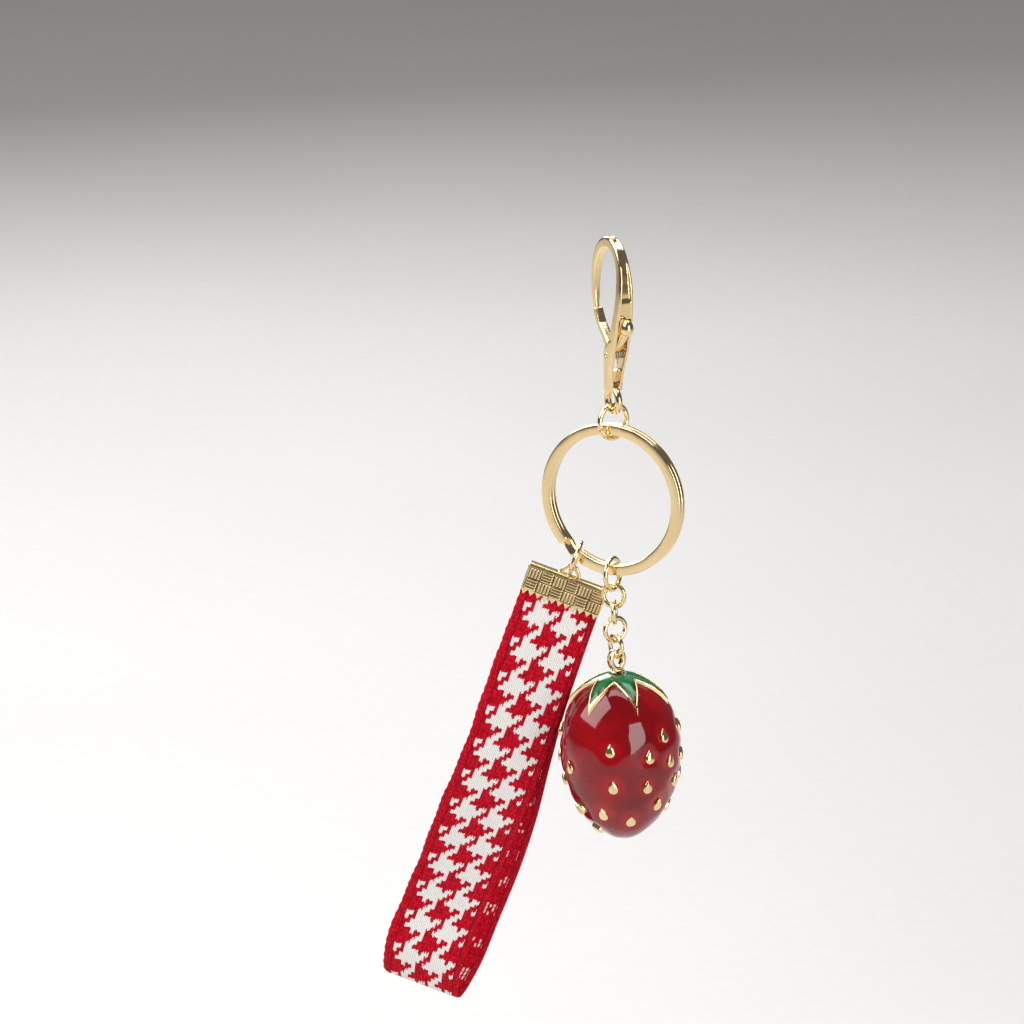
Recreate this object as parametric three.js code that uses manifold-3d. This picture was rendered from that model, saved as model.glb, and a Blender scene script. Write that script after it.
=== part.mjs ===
// Key ring with a lobster clasp, a woven ribbon tag and an enamelled strawberry charm.
// Millimetres, +Z up. The origin is where the clasp hangs: the inside top of its hook.
// +X runs to the right along the plane of the split ring, and +Y runs away from its front.
import * as THREE from 'three';
import { mergeVertices } from 'three/addons/utils/BufferGeometryUtils.js';
import Module from 'manifold-3d';

const wasm = await Module();
wasm.setup();

const DEG = Math.PI / 180;

// Where each hanging piece turns on the one above it, down from the hook seat.
const CLEARANCE = 0.1;
const EYE_Z = -29.5;
const EYE_RADIUS = 2.2;
const EYE_BAR_RADIUS = 0.7;
const BUTT_GAP = 0.12;
const CLASP_YAW = 146 * DEG;

const CLASP_RING = { outside: 7.6, wire: 1.0, yaw: 66 * DEG };
const CHARM_RING = { outside: 7.0, wire: 0.9, yaw: 90 * DEG };
const RIBBON_RING = { outside: 7.0, wire: 0.9 };
const LINKS = [
  { outside: 5.4, wire: 0.9, yaw: 0 },
  { outside: 5.1, wire: 0.9, yaw: 113 * DEG },
  { outside: 5.5, wire: 0.9, yaw: 60 * DEG },
  { outside: 5.1, wire: 0.9, yaw: -30 * DEG },
];

// Split ring: flat wire wound twice, stepping from the front coil to the back one.
const SPLIT_MEAN_RADIUS = 13.95;
const SPLIT_WIRE_WIDTH = 2.1;
const SPLIT_WIRE_THICKNESS = 1.08;
const SPLIT_WIRE_BEVEL = 0.25;
const SPLIT_COIL_PITCH = 1.16;
const SPLIT_STEP_START = 33;
const SPLIT_STEP_SPAN = 14;
const SPLIT_END_GAP = 2;
const SPLIT_Z = -49.1;
const SPLIT_INNER_REST = 1.6;

// The chain and its charm hang a little to the right, off the tag beside them.
const CHAIN_LEAN = -3 * DEG;

// Ribbon tag: it leans to the left and turns a little from the split ring's plane.
const TAG_LEAN = 19 * DEG;
const TAG_YAW = 20 * DEG;
const CLAMP_WIDTH = 16;
const CLAMP_HEIGHT = 5.4;
const CLAMP_DEPTH = 2.5;
const CLAMP_PLATE = 0.36;
const CLAMP_TEETH = 11;
const CLAMP_TOOTH_LENGTH = 1.2;
const CLAMP_EYE_BAR = 0.8;
const CLAMP_EYE_RISE = 0.75;
const RIBBON_WIDTH = 16.2;
const RIBBON_THICKNESS = 0.7;

// Strawberry charm.
const BERRY_RADIUS = 11.8;
const BERRY_HEIGHT = 33;
const BERRY_TAPER = 0.11;
const BERRY_YAW = -62 * DEG;
const BAIL_YAW = 122 * DEG;
const BERRY_TOP_GAP = 3.4;
const ENAMEL_THICKNESS = 0.55;
const SKIN_GAP = 0.25;
const CASTING_WALL = 1.0;
const SEPALS = 6;
const SEPAL_START = 22 * DEG;

const gold = { color: 0xe9c98a, roughness: 0.18, metalness: 1 };
const dullGold = { color: 0xc9a45c, roughness: 0.35, metalness: 1 };
const springSteel = { color: 0xb9b4aa, roughness: 0.3, metalness: 1 };
const redRibbon = { color: 0xb3101c, roughness: 0.85, metalness: 0 };
const redEnamel = { color: 0x8e0612, roughness: 0.08, metalness: 0 };
const greenEnamel = { color: 0x0b6b33, roughness: 0.1, metalness: 0 };

// --- Solids -----------------------------------------------------------------

// A closed geometry as a manifold-3d solid.
function solidOf(geometry) {
  const bare = geometry.index ? geometry.toNonIndexed() : geometry.clone();
  bare.deleteAttribute('normal');
  bare.deleteAttribute('uv');
  const merged = mergeVertices(bare, 1e-4);
  const corners = merged.index.array;
  const faces = [];
  for (let i = 0; i < corners.length; i += 3) {
    const [a, b, c] = corners.slice(i, i + 3);
    if (a !== b && b !== c && c !== a) faces.push(a, b, c);
  }
  return new wasm.Manifold(new wasm.Mesh({
    numProp: 3,
    vertProperties: Float32Array.from(merged.attributes.position.array),
    triVerts: Uint32Array.from(faces),
  }));
}

// A manifold-3d solid as a geometry.
function geometryOf(solid) {
  const mesh = solid.getMesh();
  const geometry = new THREE.BufferGeometry();
  geometry.setAttribute('position', new THREE.BufferAttribute(mesh.vertProperties, 3));
  geometry.setIndex(new THREE.BufferAttribute(mesh.triVerts, 1));
  geometry.computeVertexNormals();
  return geometry;
}

const union = (...solids) => solids.reduce((whole, piece) => whole.add(piece));

// A closed solid through a row of equal rings of points, capped flat at both ends.
function loft(rings) {
  const sides = rings[0].length;
  const last = (rings.length - 1) * sides;
  const faces = [];
  for (let start = 0; start < last; start += sides) {
    for (let j = 0; j < sides; j++) {
      const a = start + j;
      const b = start + (j + 1) % sides;
      faces.push(a, b, b + sides, a, b + sides, a + sides);
    }
  }
  for (let j = 1; j + 1 < sides; j++) {
    faces.push(0, j + 1, j, last, last + j, last + j + 1);
  }
  const geometry = new THREE.BufferGeometry().setFromPoints(rings.flat());
  geometry.setIndex(faces);
  return geometry;
}

// A polygon in X and Z as a plate, from y = near to y = far.
function plate(points, near, far) {
  const shape = new THREE.Shape(points.map(([x, z]) => new THREE.Vector2(x, z)));
  const geometry = new THREE.ExtrudeGeometry(shape, { depth: far - near, bevelEnabled: false });
  return geometry.rotateX(Math.PI / 2).translate(0, far, 0);
}

function rod(radius, near, far, x, z, sides = 12) {
  const geometry = new THREE.CylinderGeometry(radius, radius, far - near, sides);
  return geometry.translate(x, (near + far) / 2, z);
}

// A length of round wire along a curve.
function wire(curve, radius, steps, sides = 8) {
  const section = new THREE.Shape().absarc(0, 0, radius, 0, 2 * Math.PI);
  const curveSegments = sides / 2;
  return new THREE.ExtrudeGeometry(section, { steps, extrudePath: curve, curveSegments });
}

class RingCurve extends THREE.Curve {
  constructor(radius, start, sweep) {
    super();
    this.radius = radius;
    this.start = start;
    this.sweep = sweep;
  }

  getPoint(t, target = new THREE.Vector3()) {
    const angle = this.start + this.sweep * t;
    return target.set(Math.sin(angle), 0, Math.cos(angle)).multiplyScalar(this.radius);
  }
}

// A jump ring of round wire in X and Z, with its butt joint at an angle from the top.
function jumpRing({ outside, wire: gauge }, joint) {
  const radius = (outside - gauge) / 2;
  const slit = BUTT_GAP / radius;
  return wire(new RingCurve(radius, joint + slit / 2, 2 * Math.PI - slit), gauge / 2, 20);
}

const bore = ({ outside, wire: gauge }) => outside / 2 - gauge;
const meanRadius = ({ outside, wire: gauge }) => (outside - gauge) / 2;

const scene = new THREE.Group();

function place(group, name, geometry, material) {
  const mesh = new THREE.Mesh(geometry, new THREE.MeshStandardMaterial(material));
  mesh.name = name;
  group.add(mesh);
  return mesh;
}

// --- Lobster clasp: x runs from its spine to its gate -------------------------

const clasp = new THREE.Group();
clasp.rotation.z = CLASP_YAW;
scene.add(clasp);

const PIVOT = { x: -0.3, z: -20.3 };
const SLOT_HALF = 1.2;
const CHEEK_HALF = 1.75;
const PIN_RADIUS = 0.45;
const BODY_HOLE_RADIUS = PIN_RADIUS + 0.05;
const TRIGGER_HOLE_RADIUS = PIN_RADIUS + 0.1;
const TRIGGER_FRONT = -0.7;
const TRIGGER_BACK = 1.0;
const PIN_HALF = CHEEK_HALF + 0.05;

// The torsion spring's coil, from y = start towards -Y, in a seat cut into the trigger.
const SPRING = { radius: 0.95, pitch: 0.36, turns: 2 + 38 / 360, leg: 1.8, start: -0.22, gauge: 0.26 };
const SPRING_SEAT_RADIUS = 1.75;

// Stations up the spine and over the hook: x, z, half depth in the plane, half width.
const HOOK = [
  [0.1, -27.6, 1.25, 1.1], [-0.5, -24, 1.3, 1.45], [-1.5, -20, 1.35, 1.75],
  [-2.7, -16, 1.25, 1.8], [-3.7, -12, 1.1, 1.7], [-4.2, -7.5, 1.0, 1.5],
  [-3.6, -3.2, 0.95, 1.2], [-1.6, 0.1, 1.0, 1.05], [1.0, 1.25, 1.1, 1.0],
  [3.9, 0.3, 1.0, 0.95], [6.2, -2.8, 0.9, 0.85], [7.1, -7, 0.78, 0.72],
  [7.1, -10.5, 0.7, 0.65], [6.8, -12.9, 0.5, 0.5],
];

function claspBody() {
  const middle = new THREE.CatmullRomCurve3(HOOK.map(([x, z]) => new THREE.Vector3(x, 0, z)));
  const size = new THREE.CatmullRomCurve3(HOOK.map(([, , d, w]) => new THREE.Vector3(d, w, 0)));
  const rings = [];
  const steps = 26;
  const sides = 8;
  for (let i = 0; i <= steps; i++) {
    const at = middle.getPoint(i / steps);
    const along = middle.getTangent(i / steps);
    const { x: depth, y: width } = size.getPoint(i / steps);
    rings.push(Array.from({ length: sides }, (_, j) => {
      const angle = (j + 0.5) * 2 * Math.PI / sides;
      const out = Math.cos(angle) * depth;
      return new THREE.Vector3(at.x + out * along.z, Math.sin(angle) * width, at.z - out * along.x);
    }));
  }
  const cheeks = plate([[-2.4, -17.2], [-0.9, -17.6], [0.6, -18.8], [1.1, -20.3], [1.0, -22.4],
    [0.9, -25.2], [0.8, -27.6], [-0.7, -27.6], [-1.3, -23.5], [-2.2, -20]], -CHEEK_HALF, CHEEK_HALF);
  const eye = new THREE.TorusGeometry(EYE_RADIUS, EYE_BAR_RADIUS, 8, 18);
  eye.rotateX(Math.PI / 2).translate(0, 0, EYE_Z);

  const slot = plate([[-1.5, -15.8], [4, -15.8], [4, -23.6], [-0.9, -23.6], [-1.55, -22.4],
    [-1.7, -20.3], [-1.7, -19]], -SLOT_HALF, SLOT_HALF);
  const reach = 9;
  const window = [[PIVOT.x - 0.84, PIVOT.z - 0.7], [PIVOT.x + 0.2, PIVOT.z + 1.3]];
  const highest = 115 * DEG;
  const lowest = 158 * DEG;
  window.push([PIVOT.x + reach * Math.cos(highest), PIVOT.z + reach * Math.sin(highest)]);
  window.push([PIVOT.x + reach * Math.cos(lowest), PIVOT.z + reach * Math.sin(lowest)]);
  return union(solidOf(loft(rings)), solidOf(cheeks), solidOf(eye))
    .subtract(solidOf(slot))
    .subtract(solidOf(plate(window, -SLOT_HALF, SLOT_HALF)))
    .subtract(solidOf(rod(BODY_HOLE_RADIUS, -3, 3, PIVOT.x, PIVOT.z)));
}

function claspTrigger() {
  const gateAndLever = plate([
    [PIVOT.x + 1.05, PIVOT.z - 0.3], [PIVOT.x + 1.35, PIVOT.z + 0.6], [5.2, -15.2],
    [6.3, -13.3], [6.1, -12.5], [5.4, -12.4], [4.9, -13.3], [3.9, -14.9],
    [PIVOT.x, PIVOT.z + 1.3], [-5.2, -13.8], [-6, -14.4], [PIVOT.x - 1, PIVOT.z + 0.15],
    [PIVOT.x - 0.75, PIVOT.z - 0.75], [PIVOT.x + 0.2, PIVOT.z - 1.05],
  ], TRIGGER_FRONT, TRIGGER_BACK);
  const thumb = new THREE.SphereGeometry(1, 10, 8).scale(1.15, 1.15, 1.6).translate(-5.7, 0.15, -14.1);
  const springSeat = rod(SPRING_SEAT_RADIUS, -1.5, 0.05, PIVOT.x, PIVOT.z, 16);
  const hole = rod(TRIGGER_HOLE_RADIUS, -3, 3, PIVOT.x, PIVOT.z);
  return union(solidOf(gateAndLever), solidOf(thumb))
    .subtract(solidOf(springSeat))
    .subtract(solidOf(hole));
}

// The torsion spring: two turns round the pin between a leg on the body and one on the gate.
function claspSpring() {
  const { radius, pitch, turns, leg, start, gauge } = SPRING;
  const points = [new THREE.Vector3(PIVOT.x - radius, start, PIVOT.z - leg)];
  const steps = 26;
  for (let i = 0; i <= steps; i++) {
    const angle = Math.PI - turns * 2 * Math.PI * i / steps;
    points.push(new THREE.Vector3(PIVOT.x + radius * Math.cos(angle),
      start - pitch * turns * i / steps, PIVOT.z + radius * Math.sin(angle)));
  }
  const gateLine = new THREE.Vector3(0.617, 0, 0.787);
  points.push(points[points.length - 1].clone().addScaledVector(gateLine, leg));
  const curve = new THREE.CatmullRomCurve3(points);
  return wire(curve, gauge / 2, 40, 6);
}

place(clasp, 'clasp_body', geometryOf(claspBody()), gold);
place(clasp, 'clasp_trigger', geometryOf(claspTrigger()), gold);
place(clasp, 'clasp_pivot_pin', rod(PIN_RADIUS, -PIN_HALF, PIN_HALF, PIVOT.x, PIVOT.z), gold);
place(clasp, 'clasp_spring', claspSpring(), springSteel);

const claspRingPivot = EYE_Z - EYE_RADIUS;
const claspRingTop = claspRingPivot + EYE_BAR_RADIUS + CLASP_RING.wire / 2 + CLEARANCE;
const claspRing = place(scene, 'clasp_jump_ring', jumpRing(CLASP_RING, 250 * DEG), gold);
claspRing.position.z = claspRingTop - meanRadius(CLASP_RING);
claspRing.rotation.z = CLASP_RING.yaw;

// --- Split ring ---------------------------------------------------------------

// Angles are measured at the bottom of the ring and grow towards -X.
function splitRing() {
  const halfWidth = SPLIT_WIRE_WIDTH / 2;
  const halfThick = SPLIT_WIRE_THICKNESS / 2;
  const bevel = SPLIT_WIRE_BEVEL;
  const corners = [
    [bevel - halfWidth, -halfThick], [-halfWidth, bevel - halfThick],
    [-halfWidth, halfThick - bevel], [bevel - halfWidth, halfThick],
    [halfWidth - bevel, halfThick], [halfWidth, halfThick - bevel],
    [halfWidth, bevel - halfThick], [halfWidth - bevel, -halfThick],
  ];
  const first = SPLIT_STEP_START + SPLIT_STEP_SPAN;
  const last = SPLIT_STEP_START + 720 - SPLIT_END_GAP;
  const steps = 78;
  const rings = [];
  for (let i = 0; i <= steps; i++) {
    const degrees = first + (last - first) * i / steps;
    const stepped = THREE.MathUtils.smoothstep(degrees, SPLIT_STEP_START + 360, first + 360);
    const layer = (stepped - 0.5) * SPLIT_COIL_PITCH;
    const angle = degrees * DEG;
    rings.push(corners.map(([out, across]) => {
      const radius = SPLIT_MEAN_RADIUS + out;
      return new THREE.Vector3(-Math.sin(angle) * radius, layer + across, -Math.cos(angle) * radius);
    }));
  }
  return loft(rings);
}

place(scene, 'split_ring', splitRing(), gold).position.z = SPLIT_Z;

// --- Ribbon tag -----------------------------------------------------------------

// The tag's own frame hangs from the split ring's wire: x across the ribbon, z up along it.
const tag = new THREE.Group();
tag.position.x = -Math.sin(SPLIT_STEP_START * DEG) * SPLIT_MEAN_RADIUS;
tag.position.z = SPLIT_Z - Math.cos(SPLIT_STEP_START * DEG) * SPLIT_MEAN_RADIUS;
tag.rotation.set(0, TAG_LEAN, TAG_YAW, 'ZYX');
scene.add(tag);

const ribbonRingCentre = SPLIT_INNER_REST - bore(RIBBON_RING);
const ribbonRing = place(tag, 'ribbon_jump_ring', jumpRing(RIBBON_RING, 235 * DEG), gold);
ribbonRing.position.z = ribbonRingCentre;
ribbonRing.rotation.z = 90 * DEG;

const clampPivot = ribbonRingCentre - meanRadius(RIBBON_RING);
const clampTop = clampPivot - CLAMP_EYE_RISE;
const clampBottom = clampTop - CLAMP_HEIGHT;

function ribbonClamp() {
  const side = CLAMP_WIDTH / 2;
  const tooth = CLAMP_WIDTH / CLAMP_TEETH;
  const outline = [[side, clampTop], [-side, clampTop]];
  for (let i = 0; i < CLAMP_TEETH; i++) {
    outline.push([-side + i * tooth, clampBottom]);
    outline.push([-side + (i + 0.5) * tooth, clampBottom - CLAMP_TOOTH_LENGTH]);
  }
  outline.push([side, clampBottom]);
  const half = CLAMP_DEPTH / 2;
  const front = plate(outline, -half, CLAMP_PLATE - half);
  const back = plate(outline, half - CLAMP_PLATE, half);
  const fold = plate([[side, clampTop], [-side, clampTop], [-side, clampTop - 0.6],
    [side, clampTop - 0.6]], 0.05 - half, half - 0.05);
  const eyeTop = clampPivot + RIBBON_RING.wire / 2 + CLEARANCE;
  const arch = [[-2.3, clampTop - 0.3], [2.3, clampTop - 0.3], [1.95, clampTop + 0.9],
    [1.0, eyeTop + CLAMP_EYE_BAR], [-1.0, eyeTop + CLAMP_EYE_BAR], [-1.95, clampTop + 0.9]];
  const hole = [[-1.35, clampTop], [1.35, clampTop], [1.1, clampTop + 0.75],
    [0.55, eyeTop], [-0.55, eyeTop], [-1.1, clampTop + 0.75]];
  const eye = solidOf(plate(arch, -0.35, 0.35)).subtract(solidOf(plate(hole, -1, 1)));
  return union(solidOf(front), solidOf(back), solidOf(fold), eye);
}

place(tag, 'ribbon_clamp', geometryOf(ribbonClamp()), dullGold);

// The ribbon's front layer, seen from its side: how far back it has curled at each drop
// below the clamp's top, how far behind it the back layer hangs, and how far the back layer
// has slipped to the right of it.
const RIBBON_SIDE = [
  { drop: 0.9, back: 0, gap: 0.9, slip: 0 }, { drop: 4, back: 0, gap: 0.9, slip: 0 },
  { drop: 7.4, back: 0, gap: 0.9, slip: 0 }, { drop: 15, back: -0.5, gap: 1.4, slip: 0 },
  { drop: 27, back: -0.7, gap: 3.2, slip: 0.2 }, { drop: 40, back: 0.6, gap: 6.0, slip: 1.2 },
  { drop: 53, back: 4.0, gap: 8.0, slip: 2.6 }, { drop: 66, back: 8.6, gap: 8.8, slip: 3.4 },
  { drop: 79, back: 12.4, gap: 8.6, slip: 3.4 }, { drop: 89.5, back: 12.8, gap: 7.6, slip: 3.0 },
];
const RIBBON_FOLD_DROP = 95.5;

// The direction in which the tag curls: level, and turned from the ribbon's own normal.
const CURL_TURN = 8 * DEG;

function ribbonLoop() {
  const across = new THREE.Vector3(1, 0, 0);
  const curl = new THREE.Vector3(-Math.sin(CURL_TURN), Math.cos(CURL_TURN), 0);
  const normal = new THREE.Vector3(0, 1, 0);
  const at = (drop, back, gap, slip) => new THREE.Vector3(slip, 0, clampTop - drop)
    .addScaledVector(curl, back)
    .addScaledVector(normal, gap);
  const layerHalf = RIBBON_SIDE[0].gap / 2;
  const points = RIBBON_SIDE.map(({ drop, back }) => at(drop, back, -layerHalf, 0));
  const foot = RIBBON_SIDE[RIBBON_SIDE.length - 1];
  points.push(at(RIBBON_FOLD_DROP, foot.back - 0.3, foot.gap / 2 - layerHalf, foot.slip / 2));
  const backLayer = RIBBON_SIDE.map(
    ({ drop, back, gap, slip }) => at(drop, back, gap - layerHalf, slip),
  );
  points.push(...backLayer.reverse());
  const curve = new THREE.CatmullRomCurve3(points, false, 'centripetal');
  const rings = [];
  const steps = 64;
  for (let i = 0; i <= steps; i++) {
    const middle = curve.getPointAt(i / steps);
    const thick = new THREE.Vector3().crossVectors(across, curve.getTangentAt(i / steps));
    thick.setLength(RIBBON_THICKNESS / 2);
    rings.push([[1, 1], [1, -1], [-1, -1], [-1, 1]].map(([side, face]) => middle.clone()
      .addScaledVector(across, side * RIBBON_WIDTH / 2)
      .addScaledVector(thick, face)));
  }
  return loft(rings);
}

place(tag, 'ribbon_loop', ribbonLoop(), redRibbon);

// --- Chain to the charm -----------------------------------------------------------

// Each ring hangs from the middle of the wire above it.
const chain = new THREE.Group();
chain.position.z = SPLIT_Z - SPLIT_MEAN_RADIUS;
chain.rotation.y = CHAIN_LEAN;
scene.add(chain);

const charmRing = place(chain, 'charm_jump_ring', jumpRing(CHARM_RING, 60 * DEG), gold);
charmRing.position.z = SPLIT_INNER_REST - bore(CHARM_RING);
charmRing.rotation.z = CHARM_RING.yaw;
let pivot = charmRing.position.z - meanRadius(CHARM_RING);

LINKS.forEach((link, i) => {
  const joint = i === 2 ? 190 * DEG : 75 * DEG;
  const ring = place(chain, `chain_link_${i + 1}`, jumpRing(link, joint), gold);
  ring.position.z = pivot + link.wire + CLEARANCE - meanRadius(link);
  ring.rotation.z = link.yaw;
  pivot = ring.position.z - meanRadius(link);
});

// --- Strawberry charm: its own frame starts at the berry's top ------------------------

const BAIL_HOLE = { x: 0.9, z: 1.25 };
const BAIL_WIRE = 1.0;
const BAIL_DEPTH = 1.5;
const BAIL_REST = 0.72;
const COLLAR_RADIUS = 1.5;
const PEG_RADIUS = 0.8;

const charm = new THREE.Group();
charm.position.z = pivot - BERRY_TOP_GAP;
charm.rotation.z = BERRY_YAW;
chain.add(charm);

function strawberryBail() {
  const ring = new THREE.Shape().absellipse(0, 0, BAIL_HOLE.x + BAIL_WIRE,
    BAIL_HOLE.z + BAIL_WIRE, 0, 2 * Math.PI);
  ring.holes.push(new THREE.Path().absellipse(0, 0, BAIL_HOLE.x, BAIL_HOLE.z, 0, 2 * Math.PI));
  const loop = new THREE.ExtrudeGeometry(ring,
    { depth: BAIL_DEPTH, bevelEnabled: false, curveSegments: 8 });
  loop.translate(0, 0, -BAIL_DEPTH / 2).rotateX(Math.PI / 2);
  loop.translate(0, 0, BERRY_TOP_GAP + BAIL_REST - BAIL_HOLE.z);
  const collar = new THREE.CylinderGeometry(COLLAR_RADIUS, COLLAR_RADIUS, 0.5, 16);
  collar.rotateX(Math.PI / 2).translate(0, 0, 0.65);
  const peg = new THREE.CylinderGeometry(PEG_RADIUS, PEG_RADIUS, 3.4, 12);
  peg.rotateX(Math.PI / 2).translate(0, 0, -1);
  return union(solidOf(loop), solidOf(collar), solidOf(peg));
}

// The berry's surface of revolution, grown outwards by an offset.
function berrySolid(offset, around = 20, down = 10) {
  const middle = -BERRY_HEIGHT / 2;
  const profile = [];
  for (let i = 0; i <= down; i++) {
    const polar = Math.PI * (1 - i / down);
    const out = (BERRY_RADIUS + offset) * Math.sin(polar) * (1 + BERRY_TAPER * Math.cos(polar));
    const height = middle + (BERRY_HEIGHT / 2 + offset) * Math.cos(polar);
    profile.push(new THREE.Vector2(i === 0 || i === down ? 0 : out, height));
  }
  return solidOf(new THREE.LatheGeometry(profile, around).rotateX(Math.PI / 2));
}

// One sepal of the star: turn from its middle in degrees, and distance from the berry's axis.
const SEPAL_TIP = 9.7;
const SEPAL_SIDES = [[-30, 4.3], [-18, 5.8], [-9, 7.5], [0, SEPAL_TIP], [9, 7.5], [18, 5.8]];

// The star as an upright prism, inset from its outline. A sharp tip draws in further.
function calyxPrism(inset) {
  const points = [];
  for (let i = 0; i < SEPALS; i++) {
    for (const [turn, radius] of SEPAL_SIDES) {
      const angle = SEPAL_START + 2 * Math.PI * i / SEPALS + turn * DEG;
      const out = radius - inset * (turn === 0 ? 2.4 : 1.5);
      points.push([out * Math.cos(angle), out * Math.sin(angle)]);
    }
  }
  const shape = new THREE.Shape(points.map(([x, y]) => new THREE.Vector2(x, y)));
  const prism = new THREE.ExtrudeGeometry(shape, { depth: 14, bevelEnabled: false });
  return solidOf(prism.translate(0, 0, -12));
}

// The seeds on one half of the berry: drop below its top, and turn from its front in degrees.
// The other half has the same arrangement.
const SEEDS = [
  [10.7, 48], [10.5, 88], [12.2, -10], [14.1, 28], [15.9, 54], [16, 82],
  [16.6, -58], [19.7, -9], [20.2, 26], [20.4, -88], [20.6, 68], [24.6, 44],
  [25.3, -61], [25.9, -26], [26.8, -90], [27.5, 10], [30.4, -66],
];

// Each seed stands point-up, its middle sunk below the berry's skin.
const SEED_SINK = 0.72;

function seedSolid(drop, turn, [depth, halfWidth, halfHeight], shape) {
  const cosine = 1 - 2 * drop / BERRY_HEIGHT;
  const sine = Math.sin(Math.acos(cosine));
  const out = BERRY_RADIUS * sine * (1 + BERRY_TAPER * cosine);
  const tilt = Math.atan2(2 * cosine / BERRY_HEIGHT, sine / BERRY_RADIUS);
  const seed = shape.clone().scale(depth, halfWidth, halfHeight).translate(-SEED_SINK, 0, 0);
  return solidOf(seed.rotateY(-tilt).translate(out, 0, -drop).rotateZ(turn));
}

function seedSolids(size, shape) {
  return [0, 180].flatMap((half) => SEEDS.map(
    ([drop, turn]) => seedSolid(drop, (turn + half) * DEG, size, shape),
  ));
}

const starOuter = calyxPrism(0);
const starHole = calyxPrism(-0.18);
const starRecess = calyxPrism(0.24);
const starEnamel = calyxPrism(0.42);
const pegHole = new THREE.CylinderGeometry(PEG_RADIUS + 0.12, PEG_RADIUS + 0.12, 8, 12);
const pegSocket = solidOf(pegHole.rotateX(Math.PI / 2));
const castingTop = -ENAMEL_THICKNESS - SKIN_GAP;

function strawberryCasting() {
  const shell = berrySolid(castingTop).subtract(berrySolid(castingTop - CASTING_WALL, 16, 8));
  const calyx = berrySolid(0.5).subtract(berrySolid(castingTop - 0.3)).intersect(starOuter);
  const recess = starRecess.subtract(berrySolid(0.05));
  const seeds = seedSolids([1.2, 1.1, 1.65], new THREE.IcosahedronGeometry(1, 0));
  return union(shell, calyx.subtract(recess), ...seeds).subtract(pegSocket);
}

function redEnamelSkin() {
  const cutter = new THREE.CylinderGeometry(1, 1, 6, 6).rotateZ(Math.PI / 2);
  const cuts = seedSolids([1, 1.35, 1.95], cutter);
  return cuts.reduce((skin, cut) => skin.subtract(cut),
    berrySolid(0).subtract(berrySolid(-ENAMEL_THICKNESS)).subtract(starHole));
}

function calyxEnamel() {
  const collarHole = new THREE.CylinderGeometry(COLLAR_RADIUS + 0.2, COLLAR_RADIUS + 0.2, 8, 16);
  return berrySolid(0.4).subtract(berrySolid(0.12)).intersect(starEnamel)
    .subtract(solidOf(collarHole.rotateX(Math.PI / 2)));
}

place(charm, 'strawberry_bail', geometryOf(strawberryBail()), gold).rotation.z = BAIL_YAW;
place(charm, 'strawberry_casting', geometryOf(strawberryCasting()), gold);
place(charm, 'red_enamel', geometryOf(redEnamelSkin()), redEnamel);
place(charm, 'calyx_enamel', geometryOf(calyxEnamel()), greenEnamel);

export default scene;
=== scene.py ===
"""Looks of the charm key ring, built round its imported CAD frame. Lengths here are in mm."""
import math

import bpy
import numpy as np
from mathutils import Matrix, Vector


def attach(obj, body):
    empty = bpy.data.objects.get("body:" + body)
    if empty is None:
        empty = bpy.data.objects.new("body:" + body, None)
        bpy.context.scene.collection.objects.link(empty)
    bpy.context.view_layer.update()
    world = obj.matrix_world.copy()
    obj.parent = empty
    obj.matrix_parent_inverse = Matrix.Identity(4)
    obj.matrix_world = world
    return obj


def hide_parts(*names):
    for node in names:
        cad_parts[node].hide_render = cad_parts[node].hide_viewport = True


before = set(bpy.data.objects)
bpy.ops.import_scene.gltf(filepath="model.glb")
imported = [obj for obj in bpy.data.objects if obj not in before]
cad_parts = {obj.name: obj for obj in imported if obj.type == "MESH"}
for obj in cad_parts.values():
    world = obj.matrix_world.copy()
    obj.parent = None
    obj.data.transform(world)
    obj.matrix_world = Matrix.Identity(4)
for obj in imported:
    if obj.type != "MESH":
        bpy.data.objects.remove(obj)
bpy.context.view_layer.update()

MM = 0.001
TAU = 2 * math.pi


# --- The frames that the pieces are built in --------------------------------------------------

def turned(axis, degrees):
    return np.array(Matrix.Rotation(math.radians(degrees), 4, axis))


def moved(x, y, z):
    return np.array(Matrix.Translation((x, y, z)))


SPLIT_Z = -49.1
SPLIT_RADIUS = 13.95
STEP_START = 33
CLASP = turned("Z", 146)
STEP = math.radians(STEP_START)
TAG_ORIGIN = (-math.sin(STEP) * SPLIT_RADIUS, 0, SPLIT_Z - math.cos(STEP) * SPLIT_RADIUS)
TAG = moved(*TAG_ORIGIN) @ turned("Z", 20) @ turned("Y", 19)
CHAIN = moved(0, 0, SPLIT_Z - SPLIT_RADIUS) @ turned("Y", -3)
BERRY_DROP = 20.95
CHARM = CHAIN @ moved(0, 0, -BERRY_DROP) @ turned("Z", -62)


# --- Camera, light and floor ------------------------------------------------------------------

VIEW_AZIMUTH = math.radians(28)
VIEW_ELEVATION = math.radians(15)
VIEW_WIDTH = 197
VIEW_DISTANCE = 1300
SENSOR_WIDTH = 36
FLOOR_Z = -215
FLOOR_REACH = 6000

side = Vector((math.cos(VIEW_AZIMUTH), math.sin(VIEW_AZIMUTH), 0))
toward = Vector((math.sin(VIEW_AZIMUTH) * math.cos(VIEW_ELEVATION),
                 -math.cos(VIEW_AZIMUTH) * math.cos(VIEW_ELEVATION), math.sin(VIEW_ELEVATION)))
upward = toward.cross(side)


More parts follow.
